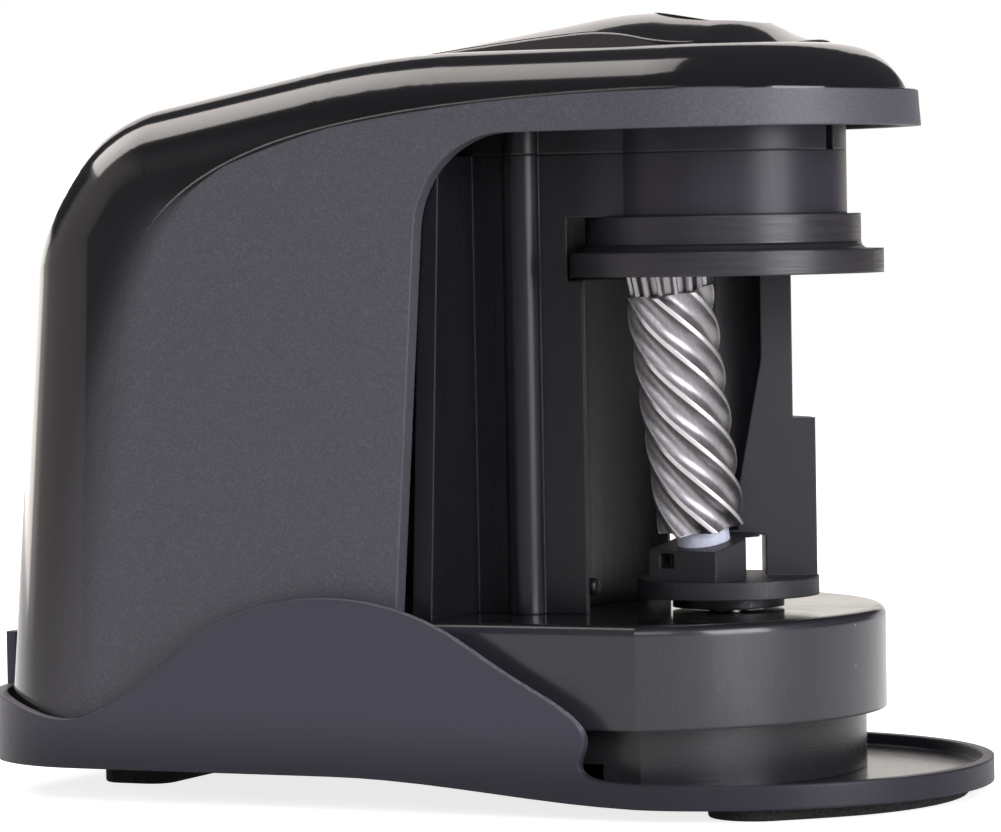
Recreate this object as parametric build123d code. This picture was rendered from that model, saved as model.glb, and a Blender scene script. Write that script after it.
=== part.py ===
from build123d import *
import os
from math import acos, atan, atan2, copysign, cos, degrees, hypot, pi, radians, sin, sqrt, tan

# Electric pencil sharpener with a planetary helical cutter, shavings bin taken out.
# Millimetres, +X to the front, +Z up. Every piece is drawn about the pencil axis at X = 0
# and moved at export, so that the origin is the centre of the footprint on the table.

# Fits and fasteners
RUN_FIT = 0.06
PRESS_FIT = 0.02
SCREW_FIT = 0.15
SEAT_GAP = 0.3
PLAY = 0.4
SCREW_RADIUS = 1.2
SCREW_HEAD = 2.3
SCREW_BOSS = 3.2
HEAD_THICK = 1.2
TALL = 130.0

# Base tray: footprint, floor and the wave along its sides
TONGUE_INSET = 0.3
BASE_REAR = 94.6
BASE_HALF_WIDTH = 33.2
BASE_WALL = 1.4
BASE_FLOOR = 1.5
FRONT_LIFT = 1.6
REAR_LIFT = 4.4
STEP_REAR, STEP_FRONT = -40.0, 4.0
RIM_HEIGHT = 4.6
WAVE_REAR, WAVE_REAR_X = 13.2, -96.0
WAVE_VALLEY, WAVE_VALLEY_X = 10.9, -74.5
WAVE_CREST, WAVE_CREST_X = 26.3, -41.5
WAVE_END_X = 1.5
WAVE_CURVE = [(-67.0, 14.6), (-57.0, 22.0)], [(-25.4, 23.0), (-14.9, 16.8), (-5.8, 9.2)]
REAR_TAB_TOP = 20.0
REAR_TAB_HALF_WIDTH = 17.0
PAD_REAR = 6.0
PAD_MARGIN = 3.1
PAD_CORNER = 6.0
PAD_TAPER = 2.3
REAR_PAD_LENGTH = 10.0
REAR_PAD_WIDTH = 24.0
REAR_PAD_INSET = 15.5
BASE_SCREW_INSETS = [(20.0, 6.8), (11.5, 10.2)]
BASE_SCREW_LENGTH = 12.0

# Gear train: pinion, two compound idlers, carrier gear, in a tub under a deck
MOTOR_TEETH, FIRST_LARGE, FIRST_SMALL = 10, 40, 12
SECOND_LARGE, SECOND_SMALL, CARRIER_TEETH = 36, 14, 32
MODULE_1, MODULE_2, MODULE_3 = 0.6, 0.7, 0.8
PRESSURE_ANGLE = 20.0
BACKLASH = 0.12
GEAR_THICK = 3.2
GEAR_STEP = 4.0
GEAR_ROOM = 0.7
IDLER_AXLE = 1.5
IDLER_HUB = 2.6
AXLE_BOSS = 2.9
AXLE_BOSS_HEIGHT = 1.0
SHAFT_RADIUS = 2.5
SHAFT_HUB = 4.0
BUSH_WALL = 2.0
BUSH_BOSS = 2.0
BUSH_LENGTH = 6.1
TUB_LIFT = 0.3
TUB_FLOOR = 1.8
TUB_WALL = 1.6
TUB_LIP = 1.6
NECK_HEIGHT = 4.4
NECK_INSET = 2.6
DECK_WALL = 2.0
DECK_HALF_WIDTH = 29.0
DECK_ARC = 31.3
DECK_ARC_CENTRE = -12.4
DECK_GAP = 0.9
DECK_FILLET = 1.2
POST_LENGTH = 8.8
GEARBOX_SCREW_LENGTH = 12.6
FRONT_POST = (3.0, 19.0)
MIDDLE_POST_Y = 20.5
REAR_POST = (11.8, 20.0)

# Motor
MOTOR_RADIUS = 15.8
MOTOR_LENGTH = 42.0
CAN_WALL = 1.4
MOTOR_SHAFT = 1.15
MOTOR_BOSS = 5.0
MOTOR_SCREW_Y = 8.5
END_CAP = 2.4
END_PLUG = 3.0
END_BOSS = 4.0
END_BOSS_HEIGHT = 2.0
AIR_GAP = 1.6
ARMATURE_SLOTS = 5
SLOT_WIDTH = 1.8
SLOT_ROOT = 5.0
ARMATURE_START, ARMATURE_END = 6.0, 8.0
COMMUTATOR = 3.2
TAB_WIDTH, TAB_THICK, TAB_HEIGHT, TAB_Y = 2.8, 0.6, 5.6, 9.0

# Pencil path
PENCIL_BORE = 4.2
GUIDE_WALL = 2.0
GUIDE_RELIEF = 0.5
GUIDE_LAND = 7.8
GUIDE_LENGTH = 13.4
FLANGE_LIP = 1.4
FLANGE_LIP_THICK = 1.0
FUNNEL_WIDEN = 3.8
FUNNEL_DEPTH = 3.6

# Planetary head: carrier with the tilted cutter, in a fixed ring gear
CUTTER_AZIMUTH = -104.5
CUTTER_TILT = 11.5
CUTTER_RADIUS = 5.5
CUTTER_LENGTH = 29.65
TIP_CUT = 0.11
FLUTES = 7
FLUTE_DEPTH = 1.25
LAND_SHARE = 0.15
GULLET_SHARE = 0.38
HELIX_LEAD = 37.0
PINION_TEETH, RING_TEETH = 15, 54
PINION_LENGTH = 4.2
BEVEL_BACKLASH = 0.14
TOOTH_UP, TOOTH_DOWN = 0.75, 1.15
AXLE_RADIUS = 1.5
AXLE_SEAT = 3.0
WASHER_THICK = 1.9
WASHER_RADIUS = 3.3
FLANGE_DROP = 1.6
FLANGE_THICK = 3.0
FLANGE_WALL = 2.8
STEP_INSET = 2.8
STEP_HEIGHT = 4.4
CUP_WALL = 2.0
COLLAR_INSET = 1.7
COLLAR_WALL = 2.6
DISC_LIFT = 1.7
DISC_THICK = 2.25
DISC_RADIUS = 11.4
DISC_HUB = 7.0
CUTTER_LIFT = 6.6
ARM_WALL = 3.9
ARM_STEP = 19.75
ARM_SPREAD = 52.0
POST_INSET = 1.8
POST_HALF_WIDTH = 5.2
POST_START = 0.3
NOTCH = (2.2, 2.1, 1.8)
NOTCH_Y, NOTCH_LIFT = -2.35, 1.55
CUTTER_CLEAR = 0.6
WINDOW_WIDTH = 2.8
WINDOW_HEIGHT = 5.15
WINDOW_TURN = 39.0
WINDOW_OFFSET = 3.4
CAP_LIFT = 1.2
CAP_THICK = 2.3
CAP_GAP = 1.1
HUB_WALL = 3.5
HUB_HEIGHT = 7.0
SEAM_GAP = 1.8
CAP_SCREW = 1.0
CAP_SCREW_HEAD = 1.7
CAP_SCREW_TURN = 35.0
CAP_SCREW_LENGTH = 9.0

# Bay frame, with the interlock in its pocket
BAY_REAR = 31.2
BAY_ARCH = 12.0
BAY_LEAN = 2.8
FRAME_GAP = 0.4
FRAME_PLATE = 2.6
PILLAR_HALF_WIDTH = 13.5
PILLAR_FRONT = 13.4
SWEEP_GAP = 2.2
COLUMN_RADIUS = 2.4
COLUMN_X = -21.5
POCKET_FRONT = 22.6
POCKET_HALF_WIDTH = 11.0
POCKET_FLOOR = 1.1
POCKET_TOP = 3.1
FRAME_SCREW_X, FRAME_SCREW_Y = -19.8, 11.6
FRAME_SCREW_LENGTH = 12.9
PLUNGER_RADIUS = 1.1
PLUNGER_COLLAR = 1.7
PLUNGER_COLLAR_THICK = 1.0
PLUNGER_REST = 1.2
PLUNGER_Y = -9.0
PLUNGER_LIFT = 3.1
PLUNGER_OUT = 2.4
PLUNGER_TRAVEL = 2.0
PLUNGER_NOSE = 0.5
INTERLOCK_SIZE = (4.6, 6.0, 6.4)

# Housing: drafted hump over the motor with a canopy over the bay
DRAFT = 4.2
WALL = 2.4
TOP_WALL = 4.6
HOUSING_CORNER = 17.0
CROWN_FILLET = 9.2
LEDGE = 0.8
CANOPY_DROP = 3.4
BAND_HEIGHT = 4.2
NOSE_REACH = 24.8
HUMP_LOW, HUMP_SHOULDER = (-0.5, -29.0), (15.6, -2.3)
HUMP_RISE, HUMP_FRONT = (-38.0, 5.2), (32.0, 5.7)
HUMP_RADII = [18.0, 120.0]
LEDGE_FOOT = -78.0
LEDGE_REAR = [(-70.0, -22.0), (-66.0, -14.6), (-56.5, -8.0), (-42.0, -3.6)]
LEDGE_FRONT = [(-21.6, -1.0), (0.0, 0.0), (32.0, -0.6)]
BOSS_WEB = 2.0
BOSS_LENGTH = 14.3

# Top panel and head frame
PANEL_REAR = 52.0
PANEL_FRONT = 14.2
PANEL_HALF_WIDTH = 15.0
PANEL_TIP = 3.5
PANEL_GAP = 0.35
PANEL_WALL = 2.0
PANEL_RISE = 10.2
PANEL_DOME = 32.0
PANEL_FILLET = 0.6
PANEL_CURVE = [(-60.0, -7.6), (-10.0, 0.1), (5.0, -1.2), (11.0, -4.0), (30.0, -5.2)]
PANEL_RADII = [40.0, 14.0, 14.0]
PANEL_BOSS = 3.0
PANEL_BOSS_LENGTH = 2.5
HEAD_PLATE = 2.2
SNAP_WIDTH, SNAP_TURN = 1.8, -9.0

# Start lever and its switch
PIVOT_BACK = 1.4
PIVOT_LIFT = 1.8
PIVOT_RADIUS = 0.9
EAR_Y = 2.4
EAR_THICK = 1.4
EAR_ROUND = 1.8
LEVER_THICK = 1.8
LEVER_RADIUS = 1.5
LEVER_ARM = 1.8
LEVER_SLOT = 1.25
LEVER_REACH = 1.0
LEVER_DROP = 6.0
SWITCH_SIZE = (9.0, 6.0, 6.0)
SWITCH_PINS = (1.5, 4.5, 7.5)
SWITCH_PIN = (0.5, 2.0, 1.5)

# Circuit board and power inlet
BOARD_LIFT = 20.9
BOARD_THICK = 1.6
BOARD_HALF_WIDTH = 15.0
BOARD_GAP = 3.0
BOARD_REAR = 5.9
BOARD_POST = 2.6
BOARD_POST_X = 15.5
BOARD_POST_Y = 10.0
INLET_LIFT = 4.8
INLET_RADIUS = 4.0
INLET_HALF_WIDTH = 4.6
INLET_TOP = 5.0
INLET_LENGTH = 11.4
SOCKET_RADIUS = 2.8
SOCKET_DEPTH = 9.0
SOCKET_PIN = 1.0
INLET_SINK = 0.2

# Heights, stacked from the table up
REAR_FLOOR_TOP = REAR_LIFT + BASE_FLOOR
FRONT_FLOOR_TOP = FRONT_LIFT + BASE_FLOOR
TUB_BOTTOM = REAR_FLOOR_TOP + TUB_LIFT
TUB_INSIDE = TUB_BOTTOM + TUB_FLOOR
DECK_BOTTOM = TUB_BOTTOM + NECK_HEIGHT
LEVEL_LOW = TUB_INSIDE + AXLE_BOSS_HEIGHT + PLAY
LEVEL_MID = LEVEL_LOW + GEAR_STEP
LEVEL_HIGH = LEVEL_MID + GEAR_STEP
CEILING = LEVEL_HIGH + GEAR_THICK + GEAR_ROOM
DECK_TOP = CEILING + DECK_WALL
DISC_BOTTOM = DECK_TOP + DISC_LIFT
DISC_TOP = DISC_BOTTOM + DISC_THICK
CUTTER_BOTTOM = DISC_TOP + CUTTER_LIFT
CUTTER_TOP = CUTTER_BOTTOM + CUTTER_LENGTH
FLANGE_BOTTOM = CUTTER_TOP + FLANGE_DROP
FLANGE_TOP = FLANGE_BOTTOM + FLANGE_THICK
STEP_TOP = FLANGE_TOP + STEP_HEIGHT
CAP_BOTTOM = FLANGE_TOP + CAP_LIFT
CAP_TOP = CAP_BOTTOM + CAP_THICK
HUB_TOP = CAP_TOP + HUB_HEIGHT
SEAM = HUB_TOP + SEAM_GAP
SPIGOT_TOP = HUB_TOP + PLAY
BAND_BOTTOM = SEAM + CANOPY_DROP
BAND_TOP = BAND_BOTTOM + BAND_HEIGHT
PANEL_PEAK = BAND_TOP + PANEL_RISE
HEAD_PLATE_BOTTOM = BAND_BOTTOM + PLAY
HEAD_PLATE_TOP = HEAD_PLATE_BOTTOM + HEAD_PLATE
GUIDE_BOTTOM = HUB_TOP + 2 * SEAT_GAP + PLAY
GUIDE_TOP = GUIDE_BOTTOM + GUIDE_LENGTH
HOUSING_BOTTOM = REAR_FLOOR_TOP
BOARD_Z = REAR_FLOOR_TOP + BOARD_LIFT
INLET_Z = BOARD_Z + BOARD_THICK + INLET_LIFT

# Places and radii that follow from the sizes above
BASE_FRONT = BASE_HALF_WIDTH - TONGUE_INSET
PAD_RADIUS = BASE_FRONT - PAD_MARGIN
PAD_HALF_WIDTH = PAD_RADIUS - PAD_TAPER
AXIS_X = (BASE_REAR - BASE_FRONT) / 2
SLOPE = tan(radians(DRAFT))
TILT = tan(radians(CUTTER_TILT))
CONE_APEX = CUTTER_BOTTOM - (CUTTER_RADIUS - TIP_CUT) / TILT
CONE_PINION = atan(sin(radians(CUTTER_TILT)) / (RING_TEETH / PINION_TEETH - cos(radians(CUTTER_TILT))))
CONE_RING = CONE_PINION + radians(CUTTER_TILT)
SWEEP_RADIUS = (FLANGE_BOTTOM - CONE_APEX) * tan(CONE_RING) + SWEEP_GAP
FLANGE_RADIUS = (FLANGE_TOP - CONE_APEX) * tan(CONE_RING) + FLANGE_WALL
STEP_RADIUS = FLANGE_RADIUS - STEP_INSET
CUP_BORE = STEP_RADIUS - CUP_WALL
CAP_RADIUS = CUP_BORE - CAP_GAP
COLLAR_RADIUS = STEP_RADIUS - COLLAR_INSET
HUB_BORE = PENCIL_BORE + SEAT_GAP
HUB_RADIUS = HUB_BORE + HUB_WALL
ARM_RADIUS = HUB_BORE + ARM_WALL
CAP_SCREW_OUT = (HUB_BORE + ARM_RADIUS) / 2
GUIDE_RADIUS = PENCIL_BORE + GUIDE_WALL
GUIDE_FLANGE = GUIDE_RADIUS + FLANGE_LIP
BUSH_RADIUS = SHAFT_RADIUS + BUSH_WALL
SECOND_X = -MODULE_3 * (SECOND_SMALL + CARRIER_TEETH) / 2
FIRST_X = SECOND_X - MODULE_2 * (FIRST_SMALL + SECOND_LARGE) / 2
MOTOR_X = FIRST_X - MODULE_1 * (MOTOR_TEETH + FIRST_LARGE) / 2
HOUSING_HALF_WIDTH = BASE_HALF_WIDTH - BASE_WALL - SEAT_GAP
HOUSING_REAR = BASE_REAR - BASE_WALL - SEAT_GAP
FRAME_REAR = BAY_REAR - FRAME_GAP
DECK_REAR = -MOTOR_X + MOTOR_RADIUS + 2 * TUB_WALL
DECK_INNER_HALF_WIDTH = HOUSING_HALF_WIDTH - (DECK_TOP - HOUSING_BOTTOM) * SLOPE - WALL - DECK_GAP
POST_MEET = TUB_BOTTOM + POST_LENGTH
MIDDLE_POST_X = (FIRST_X + SECOND_X) / 2 + PLAY
POSTS = [FRONT_POST, (MIDDLE_POST_X, MIDDLE_POST_Y), (MOTOR_X - REAR_POST[0], REAR_POST[1])]
GEARBOX_SCREWS = [(x, side * y) for x, y in POSTS for side in (-1, 1)]
BASE_SCREW_SPOTS = [(x - HOUSING_REAR, HOUSING_HALF_WIDTH - y) for x, y in BASE_SCREW_INSETS]
BASE_SCREWS = [(x, side * y) for x, y in BASE_SCREW_SPOTS for side in (-1, 1)]
PIVOT_X = -GUIDE_FLANGE - PIVOT_BACK
PIVOT_Z = HEAD_PLATE_TOP + PIVOT_LIFT

os.makedirs("parts", exist_ok=True)


def save(node, *shapes):
    """Move a piece from the pencil axis to the part's frame and write its file."""
    pieces = [Pos(AXIS_X, 0, 0) * piece for shape in shapes for piece in shape.solids()]
    export_step(Compound(children=pieces) if len(pieces) > 1 else pieces[0], f"parts/{node}.step")


def disc(radius, bottom, top, x=0.0, y=0.0):
    """Upright cylinder between two heights."""
    return Pos(x, y, (bottom + top) / 2) * Cylinder(radius, top - bottom)


def lying(radius, x0, x1, y, z):
    """Cylinder along X between two places."""
    return Pos((x0 + x1) / 2, y, z) * Rot(0, 90, 0) * Cylinder(radius, abs(x1 - x0))


def pin(radius, length):
    """Cylinder along Y about the origin."""
    return Rot(90, 0, 0) * Cylinder(radius, length)


def block(x0, x1, y0, y1, z0, z1):
    """Box between two corners."""
    return Pos((x0 + x1) / 2, (y0 + y1) / 2, (z0 + z1) / 2) * Box(x1 - x0, y1 - y0, z1 - z0)


def side_slab(curve, *corners):
    """Region of the XZ plane across the whole width: a curve closed by straight runs."""
    spots = [curve[-1] @ 1, *corners, curve[0] @ 0]
    edges = list(curve) + [Line(one, two) for one, two in zip(spots, spots[1:])]
    return extrude(make_face([Plane.XZ * edge for edge in edges]), amount=TALL, both=True)


def round_face(*circles):
    """Face round a ring of circles (x, y, radius), anticlockwise, with tangent lines between."""
    normals = []
    for start, end in zip(circles, circles[1:] + circles[:1]):
        span = (end[0] - start[0], end[1] - start[1])
        swing = acos((start[2] - end[2]) / hypot(*span))
        normals.append(atan2(span[1], span[0]) - swing)
    arcs = []
    for index, (x, y, radius) in enumerate(circles):
        first, last = normals[index - 1], normals[index]
        while last < first:
            last += 2 * pi
        spots = [(x + radius * cos(t), y + radius * sin(t)) for t in (first, (first + last) / 2, last)]
        arcs.append(ThreePointArc(*spots))
    lines = [Line(one @ 1, two @ 0) for one, two in zip(arcs, arcs[1:] + arcs[:1])]
    return make_face(arcs + lines)


def round_top(body, radius, lowest):
    """Round the rim of the faces that look up above a height."""
    seen = {}
    for face in body.faces():
        if face.center().Z > lowest and face.normal_at(face.center()).Z > 0.3:
            for edge in face.edges():
                place = tuple(round(value, 2) for value in edge.center())
                seen.setdefault(place, []).append(edge)
    return fillet([edges[0] for edges in seen.values() if len(edges) == 1], radius)


# Base tray: cradle with wave-shaped sides, a rear tab and the round front tongue
def base_plan(inset):
    """Plan of the base: round rear, sides that widen to the tongue, round tongue."""
    corner = HOUSING_CORNER + BASE_WALL + SEAT_GAP
    rear = [(corner - BASE_REAR, side * (BASE_HALF_WIDTH - corner), corner - inset) for side in (-1, 1)]
    return round_face(rear[0], (0, 0, BASE_FRONT - inset), rear[1])


def above_floor(lift):
    """Slab above a line parallel to the underside: low under the tongue, lifted to the rear."""
    low, high = FRONT_LIFT + lift, REAR_LIFT + lift
    middle = ((STEP_REAR + STEP_FRONT) / 2, (low + high) / 2)
    step = Spline((STEP_REAR, high), middle, (STEP_FRONT, low), tangents=[(1, 0), (1, 0)])
    return side_slab([step], (TALL, low), (TALL, TALL), (-TALL, TALL), (-TALL, high))


wave = Spline(
    (WAVE_REAR_X, WAVE_REAR),
    (WAVE_VALLEY_X, WAVE_VALLEY),
    *WAVE_CURVE[0],
    (WAVE_CREST_X, WAVE_CREST),
    *WAVE_CURVE[1],
    (WAVE_END_X, RIM_HEIGHT),
    tangents=[(1, 0), (1, 0)],
)
wave_slab = side_slab([wave], (TALL, RIM_HEIGHT), (TALL, 0), (-TALL, 0), (-TALL, WAVE_REAR))
rear_tab = block(-TALL, -HOUSING_REAR, -REAR_TAB_HALF_WIDTH, REAR_TAB_HALF_WIDTH, 0, REAR_TAB_TOP)
base_outer = extrude(base_plan(0), amount=2 * WAVE_CREST)
base_hollow = extrude(base_plan(BASE_WALL), amount=3 * WAVE_CREST)
base_tray = base_outer & (wave_slab + rear_tab) & above_floor(0)
base_tray = base_tray - (base_hollow & above_floor(BASE_FLOOR))
board_post_x = BOARD_POST_X - HOUSING_REAR
for side in (-1, 1):
    post_y = side * BOARD_POST_Y
    base_tray = base_tray + disc(BOARD_POST, REAR_FLOOR_TOP - TUB_LIFT, BOARD_Z, board_post_x, post_y)
for x, y in BASE_SCREWS:
    base_tray = base_tray - disc(SCREW_HEAD + SEAT_GAP, 0, REAR_LIFT + HEAD_THICK, x, y)
    base_tray = base_tray - disc(SCREW_RADIUS + SCREW_FIT, 0, REAR_FLOOR_TOP, x, y)
save("base_tray", base_tray)

# Pads under the tongue and under the rear
pad_corner_x = PAD_REAR + PAD_CORNER
pad_corner_y = PAD_HALF_WIDTH - PAD_CORNER
pad_corners = [(pad_corner_x, side * pad_corner_y, PAD_CORNER) for side in (-1, 1)]
pad = extrude(round_face(pad_corners[0], (0, 0, PAD_RADIUS), pad_corners[1]), amount=FRONT_LIFT)
pad = pad & block(PAD_REAR, TALL, -TALL, TALL, -1, TALL)
save("front_pad", pad)
rear_pad = extrude(RectangleRounded(REAR_PAD_LENGTH, REAR_PAD_WIDTH, PAD_CORNER / 2), amount=REAR_LIFT)
save("rear_pad", Pos(REAR_PAD_INSET - BASE_REAR, 0, 0) * rear_pad)


# Main housing: drafted hump shell with the bay cut out below the canopy
def half_width(z):
    """Half width of the drafted housing at a height."""
    return HOUSING_HALF_WIDTH - (z - HOUSING_BOTTOM) * SLOPE


def drafted(inset, fade=0.0):
    """Housing plan, with round rear corners and a round nose, drawn upwards with the mould's draft."""
    corner = HOUSING_CORNER - inset
    corner_x = HOUSING_CORNER - HOUSING_REAR
    corner_y = HOUSING_HALF_WIDTH - HOUSING_CORNER
    nose = (NOSE_REACH - half_width(BAND_BOTTOM), 0, HOUSING_HALF_WIDTH - inset - fade)
    plan = round_face((corner_x, -corner_y, corner), nose, (corner_x, corner_y, corner))
    return extrude(Pos(0, 0, HOUSING_BOTTOM) * plan, amount=TALL - HOUSING_BOTTOM, taper=DRAFT)


def top_slab(drop):
    """Everything below the hump's top line, lowered by a wall where needed."""
    level = BAND_TOP - drop
    spots = [(x - HOUSING_REAR, level + z) for x, z in (HUMP_LOW, HUMP_SHOULDER)]
    spots = spots + [(x, level + z) for x, z in (HUMP_RISE, HUMP_FRONT)]
    line = FilletPolyline(*spots, radius=HUMP_RADII)
    return side_slab(line.edges(), (HUMP_FRONT[0], 0), (-TALL, 0), (-TALL, spots[0][1]))


def teardrop(grow, bottom, top):
    """Upright solid with the top panel's outline, grown by a gap or shrunk by a wall."""
    front = (PANEL_FRONT - PANEL_HALF_WIDTH, 0, PANEL_HALF_WIDTH + grow)
    plan = round_face(front, (PANEL_TIP - PANEL_REAR, 0, PANEL_TIP + grow))
    return extrude(Pos(0, 0, bottom) * plan, amount=top - bottom)


ledge = Spline(*[(x, BAND_TOP + z) for x, z in LEDGE_REAR + LEDGE_FRONT])
matte_zone = side_slab([ledge], (LEDGE_FRONT[-1][0], 0), (LEDGE_FOOT, 0))
arch = FilletPolyline(
    (-BAY_REAR - BAY_LEAN / 2, 0),
    (-BAY_REAR + BAY_LEAN / 2, BAND_BOTTOM - LEDGE),
    (TALL, BAND_BOTTOM),
    radius=BAY_ARCH,
)
bay = side_slab(arch.edges(), (TALL, 0))
hump = round_top(drafted(0, LEDGE) & top_slab(0), CROWN_FILLET, BAND_TOP / 2)
housing = hump + (drafted(0) & matte_zone)
housing = housing - (drafted(WALL) & top_slab(TOP_WALL)) - bay
housing = housing - teardrop(PANEL_GAP, HEAD_PLATE_TOP, TALL)
housing_core = drafted(WALL / 2)
boss_top = HOUSING_BOTTOM + BOSS_LENGTH
base_screw_top = REAR_LIFT + BASE_SCREW_LENGTH
for x, y in BASE_SCREWS:
    boss = disc(SCREW_BOSS, HOUSING_BOTTOM, boss_top, x, y)
    wall_y = TALL if y > 0 else -TALL
    web = block(x - BOSS_WEB / 2, x + BOSS_WEB / 2, min(y, wall_y), max(y, wall_y), HOUSING_BOTTOM, boss_top)
    housing = housing + boss + (web & housing_core)
    housing = housing - disc(SCREW_RADIUS + PRESS_FIT, 0, base_screw_top + PLAY, x, y)
housing = housing - lying(INLET_RADIUS + SCREW_FIT, -TALL, -HOUSING_REAR + 3 * WALL, 0, INLET_Z)
save("main_housing", housing)


# Top panel: raised teardrop crown with the dished pencil hole
def panel_dome(drop):
    """Everything below the top panel's crown: an arch carried along the crown line."""
    spots = [(x, PANEL_PEAK - drop + z) for x, z in PANEL_CURVE]
    line = Plane.XZ * FilletPolyline(*spots, radius=PANEL_RADII)
    start = line @ 0
    low, span = start.Z - PANEL_RISE, PANEL_HALF_WIDTH + PANEL_TIP
    sag = PANEL_DOME - sqrt(PANEL_DOME ** 2 - span ** 2)
    rim = [(start.X, side * span, start.Z - sag) for side in (-1, 1)]
    foot = [(start.X, side * span, low - sag) for side in (1, -1)]
    arch = ThreePointArc(rim[0], start, rim[1])
    return sweep(make_face([arch, Polyline(rim[1], *foot, rim[0])]), path=line)


funnel_throat = PENCIL_BORE + GUIDE_RELIEF
funnel_high = PANEL_PEAK + FUNNEL_DEPTH
funnel_low = GUIDE_TOP + FLANGE_LIP_THICK
funnel_grow = (PENCIL_BORE + FUNNEL_WIDEN - funnel_throat) / FUNNEL_DEPTH
funnel_rise = funnel_high - funnel_low
funnel = Cone(funnel_throat, funnel_throat + funnel_grow * funnel_rise, funnel_rise)
panel = round_top(teardrop(0, HEAD_PLATE_TOP, TALL) & panel_dome(0), PANEL_FILLET, BAND_TOP)
panel = panel - (teardrop(-PANEL_WALL, 0, TALL) & panel_dome(PANEL_WALL + FLANGE_LIP_THICK))
panel_boss = disc(GUIDE_RADIUS + PANEL_BOSS, GUIDE_TOP - PANEL_BOSS_LENGTH, TALL)
panel = panel + (panel_boss & panel_dome(PANEL_WALL))
panel = panel - Pos(0, 0, (funnel_low + funnel_high) / 2) * funnel
panel = panel - disc(funnel_throat, 0, funnel_low + RUN_FIT) - disc(GUIDE_RADIUS + PRESS_FIT, 0, GUIDE_TOP)
save("top_panel", panel)

# Pencil guide: tube from the hole to the carrier, with a flange on the head plate
guide = disc(GUIDE_RADIUS, GUIDE_BOTTOM, GUIDE_TOP)
guide = guide + disc(GUIDE_FLANGE, HEAD_PLATE_TOP, HEAD_PLATE_TOP + FLANGE_LIP_THICK)
guide = guide - disc(PENCIL_BORE, 0, TALL) - disc(PENCIL_BORE + GUIDE_RELIEF, 0, GUIDE_TOP - GUIDE_LAND)
slot_top = PIVOT_Z + LEVER_RADIUS + GUIDE_RELIEF
guide = guide - block(-TALL, -PENCIL_BORE / 2, -LEVER_SLOT, LEVER_SLOT, 0, slot_top)
save("pencil_guide", guide)

# Head frame: plate that closes the canopy and the ring block above the seam
canopy_core = drafted(WALL + SEAT_GAP)


def pillar_plan(bottom, top):
    """Collar ring, pillar behind it and the round columns beside it."""
    solid = disc(COLLAR_RADIUS, bottom, top)
    solid = solid + block(-FRAME_REAR, 0, -PILLAR_HALF_WIDTH, PILLAR_HALF_WIDTH, bottom, top)
    for side in (-1, 1):
        solid = solid + disc(COLUMN_RADIUS, bottom, top, COLUMN_X, side * PILLAR_HALF_WIDTH)
    return solid


head = canopy_core & block(-FRAME_REAR, TALL, -TALL, TALL, HEAD_PLATE_BOTTOM, HEAD_PLATE_TOP)
head = head + pillar_plan(SEAM, HEAD_PLATE_BOTTOM) - disc(GUIDE_RADIUS + PRESS_FIT, 0, TALL)
lever_room = LEVER_SLOT + SEAT_GAP
head = head - block(PIVOT_X - 2 * LEVER_SLOT, 0, -lever_room, lever_room, 0, TALL)
for side in (-1, 1):
    ear_y = (side * EAR_Y - EAR_THICK / 2, side * EAR_Y + EAR_THICK / 2)
    ear_x = (PIVOT_X - EAR_ROUND, -GUIDE_FLANGE - PLAY / 2)
    head = head + block(*ear_x, *ear_y, HEAD_PLATE_BOTTOM, PIVOT_Z + EAR_ROUND)
head = head - Pos(PIVOT_X, 0, PIVOT_Z) * pin(PIVOT_RADIUS + RUN_FIT, TALL)
snap = block(COLLAR_RADIUS - COLLAR_WALL, TALL, -SNAP_WIDTH / 2, SNAP_WIDTH / 2, 0, HEAD_PLATE_BOTTOM)
save("head_frame", head - Rot(0, 0, SNAP_TURN) * snap)

# Start lever: reaches through the guide into the pencil's path
tip = (-PENCIL_BORE + LEVER_REACH - PIVOT_X, -LEVER_DROP)
reach = hypot(*tip)
lean = Rot(0, -degrees(atan2(tip[1], tip[0])), 0)
lever = pin(LEVER_RADIUS, LEVER_THICK) + pin(PIVOT_RADIUS, 2 * EAR_Y + EAR_THICK)
lever = lever + lean * block(0, reach, -LEVER_THICK / 2, LEVER_THICK / 2, -LEVER_ARM / 2, LEVER_ARM / 2)
lever = lever + lean * Pos(reach, 0, 0) * pin(LEVER_ARM / 2, LEVER_THICK)
save("pencil_lever", Pos(PIVOT_X, 0, PIVOT_Z) * lever)
switch_front = PIVOT_X - LEVER_RADIUS - SEAT_GAP
switch_top = HEAD_PLATE_TOP + SWITCH_SIZE[2]
switch_y = SWITCH_SIZE[1] / 2
switch = block(switch_front - SWITCH_SIZE[0], switch_front, -switch_y, switch_y, HEAD_PLATE_TOP, switch_top)
for back in SWITCH_PINS:
    x = switch_front - back
    blade = block(x, x + SWITCH_PIN[0], -SWITCH_PIN[1] / 2, SWITCH_PIN[1] / 2, 0, SWITCH_PIN[2])
    switch = switch + Pos(0, 0, switch_top) * blade
save("pencil_switch", switch)

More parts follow.
